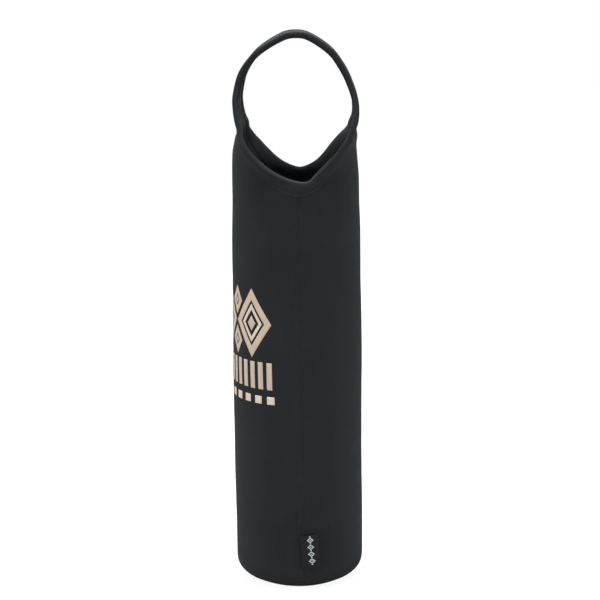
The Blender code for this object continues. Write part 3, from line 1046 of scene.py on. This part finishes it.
# Base seam
# The last seam of the sleeve: a ring of stitches that draws the base's rim and the
# panels' lower edge together, with its overcast inside.
BASE_THREAD_DEPTH = -0.00035
BASE_OVERCAST_LEAN = 0.0013
SHORT_GAP_SHARE = 0.05
shape = bmesh.new()
for offset, lean, zigzags in (
    (BASE_THREAD_DEPTH, STITCH_LEAN, False),
    (INNER_THREAD_DEPTH, BASE_OVERCAST_LEAN, True),
):
    radius, height = base_seam_point(offset)
    count = round(2 * math.pi * radius / SEAM_STITCH)
    for stop in range(count):
        ends = []
        for share, way in stitch_ends(SHORT_GAP_SHARE):
            angle = 2 * math.pi * (stop + share) / count
            sway = lean * way * (zigzag_way(stop) if zigzags else 1)
            reach = radius + sway * math.cos(BASE_SEAM_ANGLE)
            rise = height + sway * math.sin(BASE_SEAM_ANGLE)
            ends.append(Vector((reach * math.cos(angle), reach * math.sin(angle), rise)))
        add_stitch(shape, *ends, THREAD_DIAMETER)
base_seam = sewn_piece("base_stitches", shape, sewing_thread)
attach(base_seam, "sleeve")
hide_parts("base_seam_thread")

# Crown seam
# The short seam over the top of the handle that joins its two halves, sewn before the
# tape covers both of its ends.
shape = bmesh.new()
reach = STRAP_WIDTH / 2 - BINDING_WIDTH
count = round(2 * reach / SEAM_STITCH)
for offset, lean, zigzags in (
    (THREAD_DEPTH, STITCH_LEAN, False),
    (INNER_THREAD_DEPTH, ZIGZAG_WIDTH / 2, True),
):
    for stop in range(count):
        ends = []
        for share, way in stitch_ends(SHORT_GAP_SHARE):
            across = reach * (2 * (stop + share) / count - 1)
            angle = across / across_radius(CROWN_LENGTH)
            side = -way * (zigzag_way(stop) if zigzags else 1)
            ends.append(wall_point(angle, CROWN_LENGTH - lean, offset, side))
        add_stitch(shape, *ends, THREAD_DIAMETER)
crown_seam = sewn_piece("crown_stitches", shape, sewing_thread)
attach(crown_seam, "sleeve")
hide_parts("crown_seam_thread")

# Tape round each side opening
# Knitted tape folded over the raw edge of the laminate, its own edges turned under and
# sewn down in a shallow groove. Its end laps over its start in front of the side seam.
TAPE_STOPS = 110
STITCH_INSET = 0.0065
BINDING_STITCH = 0.0030
TAPE_DIMPLE = 0.00008
DIMPLE_REACH = 0.0012
LAP_LENGTH = 0.0065
LAP_STEP = 0.0006
LAP_THICKNESS = 0.00022
TAPE_MERGE_REACH = 0.000004
TAPE_STITCH_RISE = 0.00006
TAPE_GAP_SHARE = 0.08
TAPE_DARK = (0.0094, 0.0108, 0.0124)
TAPE_LIGHT = (0.0185, 0.0211, 0.0238)
TAPE_WALE = 0.0005
TAPE_COURSE = 0.00045
# Share of the tape's tone that follows its knit's height: painted shade in its furrows
TAPE_KNIT_SHADE_SHARE = 0.4
TAPE_CLOUD = 0.012
TAPE_RELIEF = 0.0001

# Half of the tape's section, from the turned-under edge to the fold: inset and offset
TAPE_LEG = (
    (0.00795, 0.00002),
    (0.00803, 0.00005),
    (0.00803, 0.00010),
    (0.00792, 0.00015),
    (0.00765, 0.00018),
    (0.00725, 0.00017),
    (0.00685, 0.00013),
    (0.00650, 0.00011),
    (0.00615, 0.00014),
    (0.00570, 0.00020),
    (0.00500, 0.00026),
    (0.00400, 0.00033),
    (0.00280, 0.00040),
    (0.00160, 0.00042),
    (0.00060, 0.00037),
    (-0.00010, 0.00020),
    (-0.00055, -0.00012),
    (-0.00076, -0.00058),
    (-0.00084, -0.00110),
)
TAPE_FOLD = (-0.00086, -0.00155)
TAPE_INNER_SWELL_SHARE = 0.7

# Half of its side against the laminate, from under the leg to the fold: inset and offset
TAPE_BACK = (
    (0.00400, 0.00001),
    (0.00020, 0.00001),
    (-0.00020, -0.00050),
)


def tape_section():
    """Closed section of the folded tape, as insets and offsets, fuller on the inner side."""
    middle = -WALL_THICKNESS
    outside = list(TAPE_LEG) + [TAPE_FOLD]
    for inset, offset in reversed(TAPE_LEG):
        outside.append((inset, middle - offset - TAPE_INNER_SWELL_SHARE * max(0.0, offset)))
    inside = [(inset, middle - offset) for inset, offset in TAPE_BACK]
    inside += list(reversed(TAPE_BACK))
    return outside + inside


def opening_round(stops):
    """Stations all round a side opening, each with the side of the sleeve it is on."""
    front = [(1, station) for station in opening_stations(stops, stops)]
    back = [(-1, station) for _, station in reversed(front[:-1])]
    return front + back


def edge_point(stop, inset, offset, hand):
    """Point at an inset from the opening's edge into the panel, outward by the offset."""
    side, station = stop
    angle, length = station_place(station, inset)
    return wall_point(angle, length, offset, side, hand)


def stretch_of(points):
    """Lengths along a line of points, from its start."""
    lengths = [0.0]
    for near, far in zip(points, points[1:]):
        lengths.append(lengths[-1] + (far - near).length)
    return lengths


def lap_share(length, total):
    """1 where the tape's end lies over its start, at a length round the opening."""
    off_seam = length if length < total / 2 else length - total
    return band_share(off_seam, -LAP_STEP, LAP_LENGTH + LAP_STEP, LAP_STEP)


def tape_shape(hand, stops, stitch_count):
    """Folded tape all round an opening, and its length, as a bmesh with its cut as a UV map."""
    section = tape_section()
    girths = stretch_of([Vector((*point, 0.0)) for point in section + section[:1]])
    edge_lengths = stretch_of([edge_point(stop, 0.0, 0.0, hand) for stop in stops])
    stitch_lengths = stretch_of([edge_point(stop, STITCH_INSET, 0.0, hand) for stop in stops])
    columns = len(stops) - 1
    rows = len(section)
    shape = bmesh.new()
    bmesh.ops.create_grid(shape, x_segments=columns, y_segments=rows, size=0.5)
    cut = {}
    for point in shape.verts:
        column = round((point.co.x + 0.5) * columns)
        row = round((point.co.y + 0.5) * rows)
        inset, offset = section[row % rows]
        turns = stitch_count * stitch_lengths[column] / stitch_lengths[-1]
        grip = 0.5 + 0.5 * math.cos(2 * math.pi * turns)
        lift = LAP_THICKNESS * lap_share(edge_lengths[column], edge_lengths[-1])
        lift -= TAPE_DIMPLE * bell_share(inset - STITCH_INSET, DIMPLE_REACH) * grip
        if row % rows < len(TAPE_LEG):
            offset += lift
        elif row <= 2 * len(TAPE_LEG):
            offset -= lift
        point.co = edge_point(stops[column], inset, offset, hand)
        cut[point] = (girths[row], edge_lengths[column])
    write_cut(shape, cut)
    bmesh.ops.remove_doubles(shape, verts=shape.verts[:], dist=TAPE_MERGE_REACH)
    bmesh.ops.recalc_face_normals(shape, faces=shape.faces[:])
    if shape.calc_volume(signed=True) < 0:
        bmesh.ops.reverse_faces(shape, faces=shape.faces[:])
    return shape, edge_lengths[-1]


def point_along(line, lengths, length):
    """Point at a length along a line of points."""
    index = max(0, min(bisect.bisect_right(lengths, length) - 1, len(line) - 2))
    share = (length - lengths[index]) / (lengths[index + 1] - lengths[index])
    return line[index].lerp(line[index + 1], share)


tape_cloth = new_finish(
    "tape_cloth", roughness=0.85, gloss=0.10, sheen=0.03, sheen_roughness=0.45
)
tape_knit = knit_height(tape_cloth, TAPE_WALE, TAPE_COURSE)
# Tone of the tape: soft clouds, and painted shade that darkens the furrows of its knit
tape_tone_and_shade = clouded(tape_cloth, tape_knit, TAPE_KNIT_SHADE_SHARE, TAPE_CLOUD)
tape_colour = tinted(tape_cloth, tape_tone_and_shade, TAPE_DARK, TAPE_LIGHT)
dress(tape_cloth, tape_colour, tape_knit, TAPE_RELIEF, strength=0.45)

tape_stops = opening_round(TAPE_STOPS)
for name, hand in (("right", 1), ("left", -1)):
    stitch_line = [edge_point(stop, STITCH_INSET, 0.0, hand) for stop in tape_stops]
    stitch_count = round(stretch_of(stitch_line)[-1] / BINDING_STITCH)
    shape, tape_length = tape_shape(hand, tape_stops, stitch_count)
    tape = sewn_piece(name + "_edge_tape", shape, tape_cloth)
    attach(tape, "sleeve")
    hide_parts(name + "_edge_binding")

    shape = bmesh.new()
    for offset in (TAPE_STITCH_RISE, -WALL_THICKNESS - TAPE_STITCH_RISE):
        line = [edge_point(stop, STITCH_INSET, offset, hand) for stop in tape_stops]
        lengths = stretch_of(line)
        pitch = lengths[-1] / stitch_count
        for stop in range(stitch_count):
            ends = []
            for share, _ in stitch_ends(TAPE_GAP_SHARE):
                ends.append(point_along(line, lengths, pitch * (stop + share)))
            lift = LAP_THICKNESS * lap_share(pitch * stop, lengths[-1])
            add_stitch(shape, *ends, THREAD_DIAMETER + lift)
    stitches = sewn_piece(name + "_tape_stitches", shape, sewing_thread)
    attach(stitches, "sleeve")
    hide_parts(name + "_binding_thread")

# Label in the right side seam
# A satin ribbon folded in half, its two ends caught in the seam and its fold free. A
# small pattern of dots and lozenges in pale yarn is woven in its outer half.
label_low = Vector(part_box("side_label")[0])
label_high = Vector(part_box("side_label")[1])
LABEL_HEIGHT = label_high.z - label_low.z
LABEL_WIDTH = label_high.y - label_low.y
LABEL_MIDDLE = (label_low.z + label_high.z) / 2
LABEL_PLACE = (label_low.x + label_high.x) / 2
RIBBON_THICKNESS = 0.00035
RIBBON_END = 0.0003
RIBBON_FOLD = 0.00065
RIBBON_STEP = 0.0004
RIBBON_BOW = 0.00012
RIBBON_SKEW_SHARE = 0.6
RIBBON_CURL_SHARE = 0.8
RIBBON_TILT = math.radians(5.0)
RIBBON_SHIFT = 0.0006
RIBBON_ROOT_REACH = 0.0030
RIBBON_ROOT_DEPTH = 0.0001
RIBBON_RIB = 0.0035
RIBBON_RELIEF = 0.00004
RIBBON_DARK = (0.0076, 0.0077, 0.0094)
RIBBON_LIGHT = (0.0162, 0.0164, 0.0200)


def ribbon_point(run, height, offset=0.0):
    """Point on the folded ribbon at a run from its front end, outward by the offset."""
    straight = LABEL_WIDTH - RIBBON_FOLD
    turn = math.pi * RIBBON_FOLD
    share = (height - LABEL_MIDDLE) / LABEL_HEIGHT
    curl = RIBBON_BOW * (RIBBON_SKEW_SHARE * share - RIBBON_CURL_SHARE * share * share)
    if run < straight:
        across = run
        spread = RIBBON_END + (RIBBON_FOLD - RIBBON_END) * smooth_share(run / straight)
        spread += offset
    elif run < straight + turn:
        angle = math.pi / 2 - (run - straight) / RIBBON_FOLD
        across = straight + (RIBBON_FOLD + offset) * math.cos(angle)
        spread = (RIBBON_FOLD + offset) * math.sin(angle)
    else:
        across = 2 * straight + turn - run
        spread = -RIBBON_END - (RIBBON_FOLD - RIBBON_END) * smooth_share(across / straight)
        spread -= offset
    bow = RIBBON_BOW * math.sin(math.pi * across / LABEL_WIDTH) + curl * across / LABEL_WIDTH
    bow -= RIBBON_ROOT_DEPTH * smooth_share(1 - across / RIBBON_ROOT_REACH)
    place = Vector((LABEL_PLACE + spread + bow, across - RIBBON_SHIFT, height - LABEL_MIDDLE))
    return Matrix.Rotation(RIBBON_TILT, 3, "X") @ place + Vector((0.0, 0.0, LABEL_MIDDLE))


def woven_strip(width, height, columns, place):
    """Strip of ribbon, each point laid by its run and height, with its cut as a UV map."""
    shape = bmesh.new()
    rows = round(height / (2 * RIBBON_STEP))
    bmesh.ops.create_grid(shape, x_segments=columns, y_segments=rows, size=0.5)
    cut = {}
    for point in shape.verts:
        run = (point.co.x + 0.5) * width
        rise = point.co.y * height
        cut[point] = (run, rise + height / 2)
        point.co = place(run, LABEL_MIDDLE + rise)
    write_cut(shape, cut)
    return shape


ribbon_satin = new_finish(
    "ribbon_satin", roughness=0.7, gloss=0.12, sheen=0.02, sheen_roughness=0.4
)
ribbon_uv = join(ribbon_satin, "ShaderNodeUVMap", {}, uv_map="cut")
ribbon_rib = join(
    ribbon_satin,
    "ShaderNodeTexWave",
    {"Vector": ribbon_uv, "Scale": 1 / RIBBON_RIB, "Distortion": 0.6, "Detail": 1.0},
    bands_direction="Y",
)
ribbon_height = ribbon_rib.node.outputs[1]
ribbon_colour = tinted(ribbon_satin, ribbon_height, RIBBON_DARK, RIBBON_LIGHT)
dress(ribbon_satin, ribbon_colour, ribbon_height, RIBBON_RELIEF, strength=0.5)

ribbon_run = 2 * (LABEL_WIDTH - RIBBON_FOLD) + math.pi * RIBBON_FOLD
columns = round(ribbon_run / RIBBON_STEP)
shape = woven_strip(ribbon_run, LABEL_HEIGHT, columns, ribbon_point)
ribbon = sewn_piece("label_ribbon", shape, ribbon_satin, RIBBON_THICKNESS)
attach(ribbon, "label")
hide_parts("side_label")

# Sewn root of the label
# The ribbon's two ends, side by side, from the seam out to the edge that the flap turns
# on. It is held by the seam, so it stays with the sleeve when the label turns.
ROOT_INNER = 0.0393
ROOT_OUTER = 0.0408
ROOT_HEIGHT = 0.0198
ROOT_THICKNESS = 2 * RIBBON_THICKNESS
ROOT_COLUMNS = 4


def root_point(run, height):
    """Point between the ribbon's ends at a run from their sewn edge."""
    return Vector((ROOT_INNER + run, 0.0, height))


shape = woven_strip(ROOT_OUTER - ROOT_INNER, ROOT_HEIGHT, ROOT_COLUMNS, root_point)
root = sewn_piece("label_root", shape, ribbon_satin, ROOT_THICKNESS)
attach(root, "sleeve")

# Pale yarn of the label
# The pattern's floats lie on the face of the ribbon: small nested lozenges with a dot
# between each two, in a column near the fold.
MOTIF_ACROSS = 0.0064
MOTIF_SIZE = (0.0044, 0.0036)
MOTIF_PITCH = 0.0047
MOTIF_COUNT = 4
MOTIF_RINGS = ((0, 4), (11, 18))
MOTIF_BAR = (0.0009, 0.0006)
MOTIF_OFFSET = 0.00004
YARN_GRAIN = 0.0004
YARN_RELIEF = 0.00005
YARN_DARK = (0.36, 0.41, 0.44)
YARN_LIGHT = (0.56, 0.62, 0.66)


def on_ribbon(across, along):
    """Point of the pattern, at a run from the seam and at a height."""
    return ribbon_point(across, along, MOTIF_OFFSET)


shape = bmesh.new()
for row in range(MOTIF_COUNT):
    middle = (MOTIF_ACROSS, LABEL_MIDDLE + (row - (MOTIF_COUNT - 1) / 2) * MOTIF_PITCH)
    ink_lozenge(shape, middle, MOTIF_SIZE, MOTIF_RINGS, on_ribbon)
for row in range(MOTIF_COUNT + 1):
    middle = (MOTIF_ACROSS, LABEL_MIDDLE + (row - MOTIF_COUNT / 2) * MOTIF_PITCH)
    ink_bar(shape, middle, MOTIF_BAR, RIBBON_STEP, on_ribbon)
pale_yarn = new_finish("pale_yarn", roughness=0.6, gloss=0.3)
yarn_grain = cloudiness(pale_yarn, YARN_GRAIN, detail=2.0)
yarn_colour = tinted(pale_yarn, yarn_grain, YARN_DARK, YARN_LIGHT)
dress(pale_yarn, yarn_colour, yarn_grain, YARN_RELIEF, strength=0.5)
motif = sewn_piece("label_yarn", shape, pale_yarn, MOTIF_OFFSET)
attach(motif, "label")

# Floor and backdrop
# A pale sheet that the sleeve stands on. The camera sees it white, with the soft shadow
# of the sleeve on it.
FLOOR_SIZE = 60.0
FLOOR_GREY = 0.55
FLOOR_GLOW_SHARE = 0.70
GLOW_STRENGTH = 1.30
floor_finish = bpy.data.materials.new("pale_floor")
floor_finish.use_nodes = True
floor_tree = floor_finish.node_tree
floor_shader = floor_tree.nodes["Principled BSDF"]
floor_shader.inputs["Base Color"].default_value = (FLOOR_GREY, FLOOR_GREY, FLOOR_GREY, 1.0)
floor_shader.inputs["Roughness"].default_value = 0.9
floor_shader.inputs["Specular IOR Level"].default_value = 0.1
seen = join(floor_finish, "ShaderNodeLightPath", {})
glow = join(floor_finish, "ShaderNodeEmission", {"Strength": GLOW_STRENGTH})
seen_share = calculate(floor_finish, "MULTIPLY", seen, FLOOR_GLOW_SHARE)
white = join(
    floor_finish,
    "ShaderNodeMixShader",
    {0: seen_share, 1: floor_shader.outputs[0], 2: glow},
)
floor_tree.links.new(white, floor_tree.nodes["Material Output"].inputs["Surface"])
shape = bmesh.new()
bmesh.ops.create_grid(shape, x_segments=1, y_segments=1, size=FLOOR_SIZE / 2)
floor = sewn_piece("floor", shape, floor_finish)

# Light
# A pale room, with soft lamps high on the left and right of the picture, one overhead and
# one behind, at a level at which colours come out about as written.
ROOM_LEVEL = 0.58

# Name, place, size across and power in watts of each lamp
LAMPS = (
    ("left_lamp", (0.9, -1.3, 1.2), 1.2, 5.0),
    ("right_lamp", (0.9, 1.5, 0.9), 1.2, 5.5),
    ("top_lamp", (0.05, -0.05, 1.6), 0.8, 44.0),
    ("back_lamp", (-0.9, 0.0, 1.3), 0.8, 16.0),
)
scene = bpy.context.scene
world = bpy.data.worlds.new("pale_room")
world.use_nodes = True
scene.world = world
world_tree = world.node_tree
backdrop = world_tree.nodes["Background"]
room_path = world_tree.nodes.new("ShaderNodeLightPath")
room_level = world_tree.nodes.new("ShaderNodeMapRange")
room_level.inputs["To Min"].default_value = ROOM_LEVEL
room_level.inputs["To Max"].default_value = 1.0
world_tree.links.new(room_path.outputs["Is Camera Ray"], room_level.inputs["Value"])
world_tree.links.new(room_level.outputs["Result"], backdrop.inputs["Strength"])
backdrop.inputs["Color"].default_value = (1.0, 1.0, 1.0, 1.0)
for name, place, size, power in LAMPS:
    lamp = bpy.data.lights.new(name, "AREA")
    lamp.shape = "DISK"
    lamp.size = size
    lamp.energy = power
    holder = bpy.data.objects.new(name, lamp)
    holder.location = place
    aim = Vector((0.0, 0.0, CROWN_HEIGHT / 2)) - Vector(place)
    holder.rotation_euler = aim.to_track_quat("-Z", "Y").to_euler()
    bpy.context.collection.objects.link(holder)

# Camera
# It looks at the labelled side seam from a little above the crown, square to the handle's
# arch, so the front panel lies on the left of the picture.
CAMERA_AZIMUTH = math.radians(87.8)
CAMERA_DISTANCE = 0.9665
CAMERA_HEIGHT = 0.3891
CAMERA_PITCH = math.radians(12.0)
CAMERA_ROLL = math.radians(-0.60)
CAMERA_TURN = math.radians(0.12)
FOCAL_PIXELS = 1527.0
PICTURE_PIXELS = 600.0
SENSOR = 36.0
camera_data = bpy.data.cameras.new("camera")
camera_data.sensor_width = SENSOR
camera_data.lens = FOCAL_PIXELS / PICTURE_PIXELS * SENSOR
camera_data.clip_end = 2 * FLOOR_SIZE
camera = bpy.data.objects.new("camera", camera_data)
stand = Vector((math.sin(CAMERA_AZIMUTH), -math.cos(CAMERA_AZIMUTH), 0.0)) * CAMERA_DISTANCE
camera.location = stand + Vector((0.0, 0.0, CAMERA_HEIGHT))
camera.rotation_euler = (
    Matrix.Rotation(CAMERA_AZIMUTH - CAMERA_TURN, 4, "Z")
    @ Matrix.Rotation(math.pi / 2 - CAMERA_PITCH, 4, "X")
    @ Matrix.Rotation(CAMERA_ROLL, 4, "Z")
).to_euler()
bpy.context.collection.objects.link(camera)
scene.camera = camera
scene.view_settings.view_transform = "Standard"
